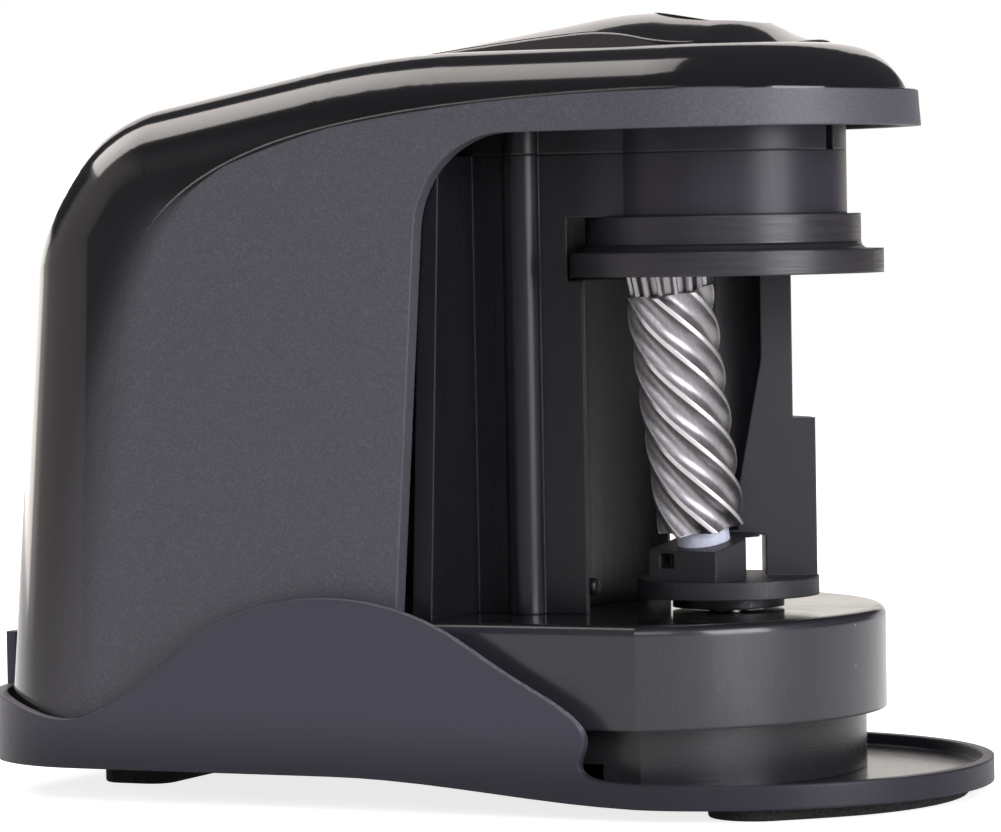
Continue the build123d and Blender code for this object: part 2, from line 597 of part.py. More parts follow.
# Bay frame: back wall, pillar hollowed to the cutter's sweep, collar for the ring gear
wall_front = -FRAME_REAR + FRAME_PLATE
frame = canopy_core & block(-FRAME_REAR, wall_front, -TALL, TALL, DECK_TOP, SEAM)
pillar = block(-FRAME_REAR, -PILLAR_FRONT, -PILLAR_HALF_WIDTH, PILLAR_HALF_WIDTH, DECK_TOP, STEP_TOP)
for side in (-1, 1):
    pillar = pillar + disc(COLUMN_RADIUS, DECK_TOP, STEP_TOP, COLUMN_X, side * PILLAR_HALF_WIDTH)
pillar = pillar - disc(SWEEP_RADIUS, 0, FLANGE_BOTTOM)
pillar = pillar - disc(FLANGE_RADIUS + PLAY, FLANGE_BOTTOM - PLAY, STEP_TOP)
frame = frame + pillar + pillar_plan(STEP_TOP, SEAM) - disc(COLLAR_RADIUS - COLLAR_WALL, STEP_TOP, TALL)
pocket_floor = DECK_TOP + POCKET_FLOOR
pocket_top = FLANGE_BOTTOM - POCKET_TOP
frame = frame - block(-TALL, -POCKET_FRONT, -POCKET_HALF_WIDTH, POCKET_HALF_WIDTH, pocket_floor, pocket_top)
plunger_z = DECK_TOP + PLUNGER_LIFT
frame = frame - lying(PLUNGER_RADIUS + RUN_FIT, -FRAME_REAR, 0, PLUNGER_Y, plunger_z)
frame_screw_low = CEILING - HEAD_THICK
frame_screw_top = frame_screw_low + FRAME_SCREW_LENGTH
for side in (-1, 1):
    screw_hole = disc(SCREW_RADIUS + PRESS_FIT, 0, frame_screw_top + PLAY, FRAME_SCREW_X, side * FRAME_SCREW_Y)
    frame = frame - screw_hole
save("bay_frame", frame)

# Interlock: plunger that the bin pushes in, and the switch behind it
stem_front = -sqrt(SWEEP_RADIUS ** 2 - PLUNGER_Y ** 2) + PLUNGER_OUT
stem_back = -POCKET_FRONT - PLUNGER_REST
stem = lying(PLUNGER_RADIUS, stem_back, stem_front, PLUNGER_Y, plunger_z)
stem = fillet(stem.edges().sort_by(Axis.X)[-1], PLUNGER_NOSE)
collar = lying(PLUNGER_COLLAR, stem_back, stem_back + PLUNGER_COLLAR_THICK, PLUNGER_Y, plunger_z)
save("interlock_plunger", stem + collar)
contact = stem_back - PLUNGER_TRAVEL - SEAT_GAP
contact_y = -POCKET_HALF_WIDTH + INTERLOCK_SIZE[1]
contact_top = pocket_floor + INTERLOCK_SIZE[2]
contact_rear = contact - INTERLOCK_SIZE[0]
body = block(contact_rear, contact, -POCKET_HALF_WIDTH, contact_y, pocket_floor, contact_top)
save("interlock_switch", body)


# Gearbox cover: glossy deck with a round front, posts for the screws under it
def deck_prism(inset, bottom, top):
    """Deck plan drawn up: front arc meeting straight sides in a crease, narrower inside the housing."""
    side = DECK_HALF_WIDTH - inset
    arc = DECK_ARC - inset
    crease = DECK_ARC_CENTRE + sqrt(arc ** 2 - side ** 2)
    inner = DECK_INNER_HALF_WIDTH - inset
    shoulder = -FRAME_REAR + copysign(inset, side - inner)
    half = [(crease, side), (shoulder, side), (shoulder, inner), (-DECK_REAR + inset, inner)]
    path = half + [(x, -y) for x, y in reversed(half)]
    edges = [Line(one, two) for one, two in zip(path, path[1:])]
    edges.append(ThreePointArc((crease, -side), (DECK_ARC_CENTRE + arc, 0), (crease, side)))
    return extrude(Pos(0, 0, bottom) * make_face(edges), amount=top - bottom)


axle_low = TUB_BOTTOM + TUB_FLOOR / 3
axle_high = DECK_TOP - DECK_WALL / 2
axle_seat = LEVEL_MID + GEAR_THICK + AXLE_BOSS_HEIGHT
bush_low = DECK_TOP - BUSH_LENGTH
gearbox_screw_low = TUB_BOTTOM + PLAY / 2
gearbox_screw_top = gearbox_screw_low + GEARBOX_SCREW_LENGTH
cover = deck_prism(0, DECK_BOTTOM, DECK_TOP)
deck_edges = cover.faces().sort_by(Axis.Z)[-1].edges()
rim = [edge for edge in deck_edges if edge.center().X > -FRAME_REAR + DECK_WALL]
cover = fillet(rim, DECK_FILLET) - deck_prism(DECK_WALL, 0, CEILING)
for x, y in GEARBOX_SCREWS:
    cover = cover + disc(SCREW_BOSS, POST_MEET, CEILING, x, y)
    cover = cover - disc(SCREW_RADIUS + PRESS_FIT, 0, gearbox_screw_top + PLAY, x, y)
cover = cover + disc(BUSH_RADIUS + BUSH_BOSS, bush_low, CEILING) - disc(BUSH_RADIUS + PRESS_FIT, 0, TALL)
cover = cover + disc(AXLE_BOSS, axle_seat, CEILING, SECOND_X)
for x in (FIRST_X, SECOND_X):
    cover = cover - disc(IDLER_AXLE + PRESS_FIT, 0, axle_high, x)
cover = cover - disc(MOTOR_BOSS + SCREW_FIT, 0, TALL, MOTOR_X)
for side in (-1, 1):
    cover = cover - disc(SCREW_RADIUS + SCREW_FIT, 0, TALL, MOTOR_X, side * MOTOR_SCREW_Y)
    cover = cover - disc(SCREW_RADIUS + SCREW_FIT, 0, TALL, FRAME_SCREW_X, side * FRAME_SCREW_Y)
save("gearbox_cover", cover)

# Gearbox tub: recessed neck below the deck, floor with posts and axle seats
tub = deck_prism(NECK_INSET, FRONT_FLOOR_TOP, DECK_BOTTOM + TUB_LIP)
tub = tub - deck_prism(NECK_INSET + TUB_WALL, TUB_INSIDE, TALL)
tub = tub - block(-TALL, -BUSH_RADIUS - TUB_WALL, -TALL, TALL, 0, TUB_BOTTOM)
tub = tub & (above_floor(BASE_FLOOR + SEAT_GAP) + block(STEP_FRONT, TALL, -TALL, TALL, 0, TALL))
foot_y = REAR_POST[1] - SCREW_BOSS
tub = tub + block(MOTOR_X - MOTOR_RADIUS, MOTOR_X, -foot_y, foot_y, REAR_FLOOR_TOP, TUB_INSIDE)
for x, y in GEARBOX_SCREWS:
    tub = tub + disc(SCREW_BOSS, TUB_BOTTOM, POST_MEET, x, y) - disc(SCREW_RADIUS + SCREW_FIT, 0, TALL, x, y)
    tub = tub - disc(SCREW_HEAD + SCREW_FIT, 0, gearbox_screw_low + HEAD_THICK, x, y)
for x in (FIRST_X, SECOND_X):
    tub = tub + disc(AXLE_BOSS, TUB_BOTTOM, LEVEL_LOW - PLAY, x)
    tub = tub - disc(IDLER_AXLE + PRESS_FIT, axle_low, TALL, x)
floor_bush_low = FRONT_FLOOR_TOP + GEAR_ROOM
save("gearbox_tub", tub - disc(BUSH_RADIUS + PRESS_FIT, floor_bush_low, TALL))

# Bushes, shaft and axles of the gear train
for node, low, high in (("deck_bush", bush_low, DECK_TOP), ("floor_bush", floor_bush_low, LEVEL_LOW - PLAY)):
    save(node, disc(BUSH_RADIUS, low, high) - disc(SHAFT_RADIUS + RUN_FIT, 0, TALL))
save("idler_axles", *[disc(IDLER_AXLE, axle_low, axle_high, x) for x in (FIRST_X, SECOND_X)])
shaft_high = DISC_TOP - 2 * SEAT_GAP
save("carrier_shaft", disc(SHAFT_RADIUS, floor_bush_low + PLAY, shaft_high))


# Gears: each pair meets on the X axis, a tooth of one in a gap of the other
def involute(angle):
    """Involute of a pressure angle in radians."""
    return tan(angle) - angle


def gear_face(teeth, pitch, tip, root, thinning):
    """Tooth outline: root, pitch and tip points of every tooth, with straight flanks between."""
    base = pitch * cos(radians(PRESSURE_ANGLE))
    half = pi / (2 * teeth) - thinning / (2 * pitch) + involute(radians(PRESSURE_ANGLE))
    flank = [(radius, half - involute(acos(min(1.0, base / radius)))) for radius in (root, pitch, tip)]
    tooth = [(radius, -turn) for radius, turn in flank] + [(radius, turn) for radius, turn in reversed(flank)]
    polar = [(radius, turn + 2 * pi * count / teeth) for count in range(teeth) for radius, turn in tooth]
    spots = [(radius * cos(turn), radius * sin(turn)) for radius, turn in polar]
    return make_face(Polyline(*spots, close=True))


def spur(teeth, module, bottom, top, turn=0.0):
    """Spur gear blank with its teeth, first tooth towards +X before the turn."""
    pitch = module * teeth / 2
    face = gear_face(teeth, pitch, pitch + module, pitch - 1.25 * module, BACKLASH)
    return Pos(0, 0, bottom) * Rot(0, 0, turn) * extrude(face, amount=top - bottom)


HALF_TURN = 180.0
gear = spur(CARRIER_TEETH, MODULE_3, LEVEL_LOW, LEVEL_LOW + GEAR_THICK)
gear = gear + disc(SHAFT_HUB, LEVEL_LOW, bush_low - PLAY)
save("carrier_gear", gear - disc(SHAFT_RADIUS + PRESS_FIT, 0, TALL))
gear = spur(SECOND_SMALL, MODULE_3, LEVEL_LOW, LEVEL_MID, HALF_TURN / SECOND_SMALL)
gear = gear + spur(SECOND_LARGE, MODULE_2, LEVEL_MID, LEVEL_MID + GEAR_THICK)
gear = gear + disc(IDLER_HUB, LEVEL_MID, axle_seat - PLAY) - disc(IDLER_AXLE + RUN_FIT, 0, TALL)
save("second_idler_gear", Pos(SECOND_X, 0, 0) * gear)
gear = spur(FIRST_SMALL, MODULE_2, LEVEL_MID, LEVEL_HIGH, HALF_TURN / FIRST_SMALL)
gear = gear + spur(FIRST_LARGE, MODULE_1, LEVEL_HIGH, LEVEL_HIGH + GEAR_THICK)
gear = gear + disc(IDLER_HUB, LEVEL_LOW, LEVEL_MID) - disc(IDLER_AXLE + RUN_FIT, 0, TALL)
save("first_idler_gear", Pos(FIRST_X, 0, 0) * gear)
gear = spur(MOTOR_TEETH, MODULE_1, LEVEL_HIGH - PLAY, LEVEL_HIGH + GEAR_THICK, HALF_TURN / MOTOR_TEETH)
save("motor_pinion", Pos(MOTOR_X, 0, 0) * (gear - disc(MOTOR_SHAFT + PRESS_FIT, 0, TALL)))


# Ring gear: fixed two-step flanged cup whose bevel teeth point at the common apex
def bevel(teeth, cone, low, high, up, down, thinning):
    """Teeth drawn to an apex at the origin, between two distances along the axis."""
    faces = []
    for distance in (low, high):
        pitch = distance * tan(cone)
        module = 2 * pitch / teeth
        face = gear_face(teeth, pitch, pitch + up * module, pitch - down * module, thinning)
        faces.append(Pos(0, 0, distance) * face)
    return loft(faces, ruled=True)


ring_low, ring_high = FLANGE_BOTTOM - CONE_APEX - PLAY, FLANGE_TOP - CONE_APEX
spaces = bevel(RING_TEETH, CONE_RING, ring_low, ring_high, TOOTH_DOWN, TOOTH_UP, -BEVEL_BACKLASH)
ring = disc(FLANGE_RADIUS, FLANGE_BOTTOM, FLANGE_TOP) + disc(STEP_RADIUS, FLANGE_TOP, STEP_TOP)
ring = ring + disc(COLLAR_RADIUS - COLLAR_WALL - PRESS_FIT, STEP_TOP, SPIGOT_TOP)
ring = ring - disc(CUP_BORE, 0, CAP_TOP + SEAT_GAP) - disc(HUB_RADIUS + RUN_FIT, 0, TALL)
save("ring_gear", ring - Rot(0, 0, CUTTER_AZIMUTH) * Pos(0, 0, CONE_APEX) * spaces)

# Cutter: fluted helical steel cutter with its pinion, on a tilted axle
tilt = radians(CUTTER_TILT)
spin = radians(CUTTER_AZIMUTH)
along = (sin(tilt) * cos(spin), sin(tilt) * sin(spin), cos(tilt))
across = (cos(tilt) * cos(spin), cos(tilt) * sin(spin), -sin(tilt))
cutter_frame = Plane(origin=(0, 0, CONE_APEX), x_dir=across, z_dir=along).location
cutter_levels = (CUTTER_BOTTOM, CUTTER_TOP, CUTTER_TOP + PINION_LENGTH, CAP_TOP - PLAY)
cut_low, cut_high, pinion_high, axle_end = [(z - CONE_APEX) / cos(tilt) for z in cutter_levels]
flute_edges = []
for flute in range(FLUTES):
    shares = (0, LAND_SHARE / 2, LAND_SHARE, LAND_SHARE + GULLET_SHARE * (1 - LAND_SHARE), 1)
    depths = (0, 0, 0, FLUTE_DEPTH, 0)
    turns = [2 * pi * (flute + share) / FLUTES for share in shares]
    polar = [(CUTTER_RADIUS - depth, turn) for depth, turn in zip(depths, turns)]
    spots = [(radius * cos(turn), radius * sin(turn)) for radius, turn in polar]
    flute_edges += [ThreePointArc(*spots[:3]), ThreePointArc(*spots[2:])]
section = make_face(flute_edges).face()
twist = -360.0 * (cut_high - cut_low) / HELIX_LEAD
cutter = Solid.extrude_linear_with_rotation(section, (0, 0, 0), (0, 0, cut_high - cut_low), twist)
save("cutter", cutter_frame * (Pos(0, 0, cut_low) * cutter - disc(AXLE_RADIUS + RUN_FIT, 0, TALL)))
pinion = bevel(PINION_TEETH, CONE_PINION, cut_high, pinion_high, TOOTH_UP, TOOTH_DOWN, BEVEL_BACKLASH)
save("cutter_pinion", cutter_frame * (pinion - disc(AXLE_RADIUS + RUN_FIT, 0, TALL)))
washer_low = cut_low - RUN_FIT - WASHER_THICK
washer = disc(WASHER_RADIUS, washer_low, washer_low + WASHER_THICK) - disc(AXLE_RADIUS + PRESS_FIT, 0, TALL)
save("cutter_washer", cutter_frame * washer)
axle_start = washer_low - AXLE_SEAT
save("cutter_axle", cutter_frame * disc(AXLE_RADIUS, axle_start, axle_end))


# Carrier: disc, bearing post, back wall with the tapered pencil channel, cap with the hub
def sector(radius, top):
    """Pie slice of a disc on the side away from the cutter."""
    spread = TALL * tan(radians(ARM_SPREAD))
    wedge = make_face(Polyline((0, 0), (-TALL, spread), (-TALL, -spread), close=True))
    return disc(radius, DISC_BOTTOM, top) & extrude(wedge, amount=TALL)


cone_top = CUTTER_BOTTOM + PENCIL_BORE / TILT
channel = Pos(0, 0, (CUTTER_BOTTOM + cone_top) / 2) * Cone(CUTTER_CLEAR, HUB_BORE, cone_top - CUTTER_BOTTOM)
channel = channel + disc(HUB_BORE, cone_top - RUN_FIT, TALL)
local_cutter = Pos(0, 0, CONE_APEX) * Rot(0, CUTTER_TILT, 0)
core_radius = DISC_RADIUS - PLAY / 2
carrier = disc(DISC_RADIUS, DISC_BOTTOM, DISC_TOP) + disc(DISC_HUB, DECK_TOP + SEAT_GAP, DISC_BOTTOM)
post_reach = DISC_RADIUS - POST_INSET
post = block(POST_START, post_reach, -POST_HALF_WIDTH, POST_HALF_WIDTH, DISC_BOTTOM, CUTTER_TOP)
post = post & disc(core_radius, DISC_BOTTOM, CUTTER_TOP)
post = post - local_cutter * disc(TALL, washer_low, TALL)
notch_low = DISC_TOP + NOTCH_LIFT
notch_y = (NOTCH_Y - NOTCH[1] / 2, NOTCH_Y + NOTCH[1] / 2)
post = post - block(post_reach - NOTCH[0], TALL, *notch_y, notch_low, notch_low + NOTCH[2])
wall = sector(ARM_RADIUS, CAP_BOTTOM) + sector(core_radius, DISC_TOP + ARM_STEP)
wall = wall - channel - local_cutter * disc(CUTTER_RADIUS + CUTTER_CLEAR, washer_low, TALL)
window = block(-TALL, TALL, -WINDOW_WIDTH / 2, WINDOW_WIDTH / 2, DISC_TOP, DISC_TOP + WINDOW_HEIGHT)
carrier = carrier + post + wall - Rot(0, 0, WINDOW_TURN) * Pos(0, WINDOW_OFFSET, 0) * window
carrier = carrier - disc(SHAFT_RADIUS + PRESS_FIT, 0, shaft_high)
carrier = carrier - local_cutter * disc(AXLE_RADIUS + PRESS_FIT, axle_start, TALL)
cap = disc(CAP_RADIUS, CAP_BOTTOM, CAP_TOP) + disc(HUB_RADIUS, CAP_TOP, HUB_TOP) - disc(HUB_BORE, 0, TALL)
cap = cap - local_cutter * disc(AXLE_RADIUS + PRESS_FIT, 0, axle_end + PLAY / 4)
cap_screws = []
head_low = CAP_TOP - HEAD_THICK - PLAY / 4
screw_low = CAP_BOTTOM - CAP_SCREW_LENGTH
for side in (-1, 1):
    x = -CAP_SCREW_OUT * cos(radians(CAP_SCREW_TURN))
    y = side * CAP_SCREW_OUT * sin(radians(CAP_SCREW_TURN))
    carrier = carrier - disc(CAP_SCREW + PRESS_FIT, screw_low - PLAY, TALL, x, y)
    cap = cap - disc(CAP_SCREW + SCREW_FIT, 0, TALL, x, y)
    cap = cap - disc(CAP_SCREW_HEAD + SCREW_FIT, head_low, TALL, x, y)
    head = disc(CAP_SCREW_HEAD, head_low, head_low + HEAD_THICK, x, y)
    cap_screws.append(disc(CAP_SCREW, screw_low, head_low, x, y) + head)
turn_to_cutter = Rot(0, 0, CUTTER_AZIMUTH)
save("carrier_frame", turn_to_cutter * carrier)
save("carrier_cap", turn_to_cutter * cap)
save("carrier_screws", *[turn_to_cutter * one for one in cap_screws])

# Motor: can, end cap, armature on its shaft, terminals
can_top = DECK_TOP + MOTOR_LENGTH
can_bore = MOTOR_RADIUS - CAN_WALL
can = disc(MOTOR_RADIUS, DECK_TOP, can_top) - disc(can_bore, DECK_TOP + CAN_WALL, TALL)
can = can + disc(MOTOR_BOSS, CEILING, DECK_TOP + CAN_WALL) - disc(MOTOR_SHAFT + RUN_FIT, 0, TALL)
for side in (-1, 1):
    can = can - disc(SCREW_RADIUS + PRESS_FIT, 0, DECK_TOP + 2 * CAN_WALL, 0, side * MOTOR_SCREW_Y)
save("motor_can", Pos(MOTOR_X, 0, 0) * can)
cap_high = can_top + END_CAP
boss_high = cap_high + END_BOSS_HEIGHT
end_cap = disc(MOTOR_RADIUS, can_top, cap_high) + disc(can_bore - SCREW_FIT, can_top - END_PLUG, can_top)
end_cap = end_cap + disc(END_BOSS, can_top, boss_high)
end_cap = end_cap - disc(MOTOR_SHAFT + RUN_FIT, 0, boss_high - HEAD_THICK)
save("motor_end_cap", Pos(MOTOR_X, 0, 0) * end_cap)
save("motor_shaft", disc(MOTOR_SHAFT, LEVEL_HIGH - GEAR_THICK / 2, boss_high - HEAD_THICK - PLAY, MOTOR_X))
armature = disc(can_bore - AIR_GAP, DECK_TOP + ARMATURE_START, can_top - ARMATURE_END)
slot = block(SLOT_ROOT, TALL, -SLOT_WIDTH / 2, SLOT_WIDTH / 2, 0, TALL)
for count in range(ARMATURE_SLOTS):
    armature = armature - Rot(0, 0, 360 * count / ARMATURE_SLOTS) * slot
armature = armature + disc(COMMUTATOR, can_top - ARMATURE_END, can_top - END_PLUG - AIR_GAP / 2)
save("motor_armature", Pos(MOTOR_X, 0, 0) * (armature - disc(MOTOR_SHAFT + PRESS_FIT, 0, TALL)))
tab = block(-TAB_WIDTH / 2, TAB_WIDTH / 2, -TAB_THICK / 2, TAB_THICK / 2, cap_high, cap_high + TAB_HEIGHT)
save("motor_terminals", *[Pos(MOTOR_X, side * TAB_Y, 0) * tab for side in (-1, 1)])

# Circuit board on its posts, with the inlet behind the rear wall
board_top = BOARD_Z + BOARD_THICK
board_rear = BOARD_REAR - HOUSING_REAR
board_front = -DECK_REAR - BOARD_GAP
save("circuit_board", block(board_rear, board_front, -BOARD_HALF_WIDTH, BOARD_HALF_WIDTH, BOARD_Z, board_top))
inlet_face = -HOUSING_REAR + (INLET_Z - HOUSING_BOTTOM) * SLOPE + INLET_SINK
inlet_front = board_rear + INLET_LENGTH
inlet_top = INLET_Z + INLET_TOP
inlet = block(board_rear, inlet_front, -INLET_HALF_WIDTH, INLET_HALF_WIDTH, board_top, inlet_top)
inlet = inlet + lying(INLET_RADIUS, inlet_face, board_rear, 0, INLET_Z)
inlet = inlet - lying(SOCKET_RADIUS, inlet_face, inlet_face + SOCKET_DEPTH, 0, INLET_Z)
inlet = inlet + lying(SOCKET_PIN, inlet_face + SOCKET_PIN, inlet_face + SOCKET_DEPTH, 0, INLET_Z)
save("dc_inlet", inlet)


# Screws: pan heads on straight shanks, driven upwards
def screw(x, y, head_low, shank_top):
    """Screw with its head below."""
    shank_low = head_low + HEAD_THICK
    return disc(SCREW_HEAD, head_low, shank_low, x, y) + disc(SCREW_RADIUS, shank_low, shank_top, x, y)


motor_screw_top = DECK_TOP + 2 * CAN_WALL - PLAY
motor_spots = [(MOTOR_X, side * MOTOR_SCREW_Y) for side in (-1, 1)]
frame_spots = [(FRAME_SCREW_X, side * FRAME_SCREW_Y) for side in (-1, 1)]
save("base_screws", *[screw(x, y, REAR_LIFT, base_screw_top) for x, y in BASE_SCREWS])
save("gearbox_screws", *[screw(x, y, gearbox_screw_low, gearbox_screw_top) for x, y in GEARBOX_SCREWS])
save("motor_screws", *[screw(x, y, frame_screw_low, motor_screw_top) for x, y in motor_spots])
save("frame_screws", *[screw(x, y, frame_screw_low, frame_screw_top) for x, y in frame_spots])
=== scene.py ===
from math import atan, cos, radians, sin

import bmesh
import bpy
from mathutils import Matrix, Vector


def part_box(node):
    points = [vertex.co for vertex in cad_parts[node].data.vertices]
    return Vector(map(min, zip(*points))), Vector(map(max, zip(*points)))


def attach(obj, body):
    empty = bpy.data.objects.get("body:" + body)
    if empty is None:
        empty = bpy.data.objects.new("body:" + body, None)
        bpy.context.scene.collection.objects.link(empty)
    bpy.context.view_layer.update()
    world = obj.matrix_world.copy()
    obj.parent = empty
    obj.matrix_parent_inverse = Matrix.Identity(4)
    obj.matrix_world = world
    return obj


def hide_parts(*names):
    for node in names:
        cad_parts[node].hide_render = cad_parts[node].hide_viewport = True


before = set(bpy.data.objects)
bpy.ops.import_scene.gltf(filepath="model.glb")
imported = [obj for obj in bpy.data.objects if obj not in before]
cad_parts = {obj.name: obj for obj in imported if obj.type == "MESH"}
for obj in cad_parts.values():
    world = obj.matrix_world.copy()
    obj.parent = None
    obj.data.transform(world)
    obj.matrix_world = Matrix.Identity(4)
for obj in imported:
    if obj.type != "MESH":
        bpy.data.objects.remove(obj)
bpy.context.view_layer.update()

# Base tray: one injection moulding of dark satin plastic, spark-eroded on the outside and
# polished on its floor, with a round tongue at the front. Four screws hold it to the housing.

PER_METRE = 1000  # millimetres in a metre: finishes are drawn in millimetres


class Flow:
    """A shader socket that takes plain arithmetic."""

    def __init__(self, finish, socket):
        self.finish = finish
        self.socket = socket

    def math(self, operation, first, second):
        return self.finish.node("Math", {"operation": operation}, {0: first, 1: second})

    def __add__(self, other):
        return self.math("ADD", self, other)

    def __sub__(self, other):
        return self.math("SUBTRACT", self, other)

    def __mul__(self, other):
        return self.math("MULTIPLY", self, other)

    def __radd__(self, other):
        return self.math("ADD", other, self)

    def __rsub__(self, other):
        return self.math("SUBTRACT", other, self)

    def __rmul__(self, other):
        return self.math("MULTIPLY", other, self)


class Graph:
    """A shader tree that hands out its nodes as sockets for arithmetic."""

    def __init__(self, tree):
        self.tree = tree

    def node(self, kind, settings, sockets, output=0):
        """Add one node, set it up, feed its sockets and hand back one of its outputs."""
        made = self.tree.nodes.new("ShaderNode" + kind)
        for name, value in settings.items():
            if name == "stops":
                ramp = made.color_ramp.elements
                while len(ramp) < len(value):
                    ramp.new(0.5)
                for stop, (position, level) in zip(ramp, value):
                    stop.position = position
                    stop.color = (level, level, level, 1)
                made.color_ramp.interpolation = "B_SPLINE"
            else:
                setattr(made, name, value)
        for name, value in sockets.items():
            if isinstance(value, Flow):
                self.tree.links.new(value.socket, made.inputs[name])
            else:
                made.inputs[name].default_value = value
        return Flow(self, made.outputs[output])

    def span(self, value, low, high, to_low=0.0, to_high=1.0):
        """Carry a range of one value over to another, smoothly and held at the ends."""
        ranges = {"From Min": low, "From Max": high, "To Min": to_low, "To Max": to_high}
        return self.node("MapRange", {"interpolation_type": "SMOOTHSTEP"},
                         {"Value": value, **ranges})

    def mix(self, mask, first, second):
        """Blend two colours."""
        return self.node("Mix", {"data_type": "RGBA"}, {0: mask, 6: first, 7: second}, 2)

    def along(self, vector, direction):
        """How far a vector points in one direction."""
        return self.node("VectorMath", {"operation": "DOT_PRODUCT"},
                         {0: vector, 1: direction}, "Value")

    def ray(self, kind):
        """One for rays of a kind, such as those from the camera."""
        return self.node("LightPath", {}, {}, f"Is {kind} Ray")

    def seen(self):
        """One for rays from the camera, and for those by way of a mirror or through glass."""
        direct, glossy, through = (self.ray(kind)
                                   for kind in ("Camera", "Glossy", "Transmission"))
        return direct.math("MAXIMUM", direct.math("MAXIMUM", direct, glossy), through)


class Finish(Graph):
    """A procedural surface finish, drawn in millimetres on the object's own coordinates."""

    NOISE_LOW, NOISE_HIGH = 0.3, 0.7  # the range that nearly all of a noise keeps to

    def __init__(self, name, **constants):
        self.material = bpy.data.materials.new(name)
        self.material.use_nodes = True
        super().__init__(self.material.node_tree)
        self.shader = self.tree.nodes["Principled BSDF"]
        for socket, value in constants.items():
            label = socket.replace("_", " ").title().replace("Ior", "IOR")
            self.shader.inputs[label].default_value = value
        self.place = self.node("TexCoord", {}, {}, "Object")

    def drive(self, socket, value):
        """Feed one of the shader's own sockets."""
        self.tree.links.new(value.socket, self.shader.inputs[socket])

    def tones(self, pattern, first, second):
        """Colour that wanders between two tones."""
        self.drive("Base Color", self.mix(pattern, first, second))

    def polish(self, pattern, smooth, rough):
        """Roughness that wanders between two values."""
        return self.span(pattern, self.NOISE_LOW, self.NOISE_HIGH, smooth, rough)

    def stretched(self, scale=(1, 1, 1), turn=(0, 0, 0), centre=(0, 0, 0)):
        """The object's coordinates, moved to a centre, turned and stretched."""
        return self.node("Mapping", {"vector_type": "TEXTURE"},
                         {"Vector": self.place, "Location": centre,
                          "Rotation": turn, "Scale": scale})

    def grain(self, size, detail=2.0, vector=None):
        """Noise whose blobs are about this many millimetres across."""
        return self.node("TexNoise", {}, {"Vector": vector or self.place,
                                          "Scale": PER_METRE / size,
                                          "Detail": detail, "Roughness": 0.55}, "Fac")

    def cells(self, spacing, output):
        """Scattered cells of a spacing in millimetres."""
        return self.node("TexVoronoi", {}, {"Vector": self.place,
                                            "Scale": PER_METRE / spacing}, output)

    def bump(self, height, depth, rounding):
        """Relief of a depth in millimetres, with the edges eased to a radius in millimetres."""
        eased = self.node("Bevel", {"samples": 6}, {"Radius": rounding / PER_METRE}, "Normal")
        relief = {"Height": height, "Distance": depth / PER_METRE, "Strength": 1.0,
                  "Normal": eased}
        self.drive("Normal", self.node("Bump", {}, relief, "Normal"))

    def axis(self, letter):
        """One coordinate in millimetres."""
        return self.node("SeparateXYZ", {}, {"Vector": self.place}, letter) * PER_METRE

    def facing(self, letter):
        """One component of the surface's outward direction."""
        direction = self.node("NewGeometry", {}, {}, "Normal")
        return self.node("SeparateXYZ", {}, {"Vector": direction}, letter)

    def red(self, colour):
        """The red part of a colour, as a value."""
        return self.node("SeparateColor", {}, {"Color": colour}, "Red")

    def specks(self, spacing, share):
        """Scattered dust: a share of the cells of a spacing, each with one small dot."""
        dot_edge, dot_core = 0.09, 0.05
        near = self.cells(spacing, "Distance")
        kept = self.span(self.red(self.cells(spacing, "Color")), 1 - share, 1.001 - share)
        return self.span(near, dot_edge, dot_core) * kept


def dress(finish, *nodes):
    """Give CAD nodes a finish."""
    for node in nodes:
        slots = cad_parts[node].data.materials
        slots.clear()
        slots.append(finish.material)


satin_dark, satin_light = (0.040, 0.037, 0.054, 1), (0.047, 0.044, 0.063, 1)
satin_painted_shade, satin_painted_highlight = (0.014, 0.013, 0.020, 1), (0.13, 0.125, 0.135, 1)
tray_floor = (0.010, 0.010, 0.012, 1)
floor_height, floor_blend = 3.9, 4.3
edge_blend, edge_height = 5.6, 7.0
foot_height, wall_height = 3.0, 13.0

satin = Finish("base_satin_plastic", coat_roughness=0.25, specular_ior_level=0.3)
stipple = satin.grain(0.32, 3)
height = satin.axis("Z")
polished = (satin.span(satin.facing("Z"), 0.6, 0.95)
            * satin.span(height, floor_blend, floor_height))
cut_edge = (satin.span(satin.facing("Z"), 0.25, 0.6)
            * satin.span(height, edge_blend, edge_height))
tone = satin.mix(satin.grain(14, 3), satin_dark, satin_light)
# Painted shade: the wall's colour darkens towards its bottom, from 13 mm down to 3 mm.
tone = satin.mix(satin.span(height, wall_height, foot_height), tone, satin_painted_shade)
# Painted highlight: a lighter, speckled band along the upward-tilted top edge.
tone = satin.mix(cut_edge * satin.span(stipple, 0.35, 0.6), tone, satin_painted_highlight)
satin.tones(polished, tone, tray_floor)
satin.drive("Roughness", satin.polish(stipple, 0.36, 0.46) - polished * 0.26)
satin.drive("Coat Weight", polished * 0.5)
satin.bump(stipple * (1 - polished) * (1 + cut_edge), 0.012, 0.5)
dress(satin, "base_tray")

# Pads: two pieces of closed-cell foam glued under the tongue and under the rear,
# cut with a die, so their edges are square, porous and a little crushed.


def arc(x, y, radius, turns):
    """Points on a circle about a centre, at some turns in degrees."""
    return [(x + radius * cos(radians(turn)), y + radius * sin(radians(turn)))
            for turn in turns]


def placed(name, mesh):
    """Put a finished bmesh into the scene as an object."""
    piece = bpy.data.objects.new(name, bpy.data.meshes.new(name))
    mesh.to_mesh(piece.data)
    mesh.free()
    bpy.context.scene.collection.objects.link(piece)
    return piece


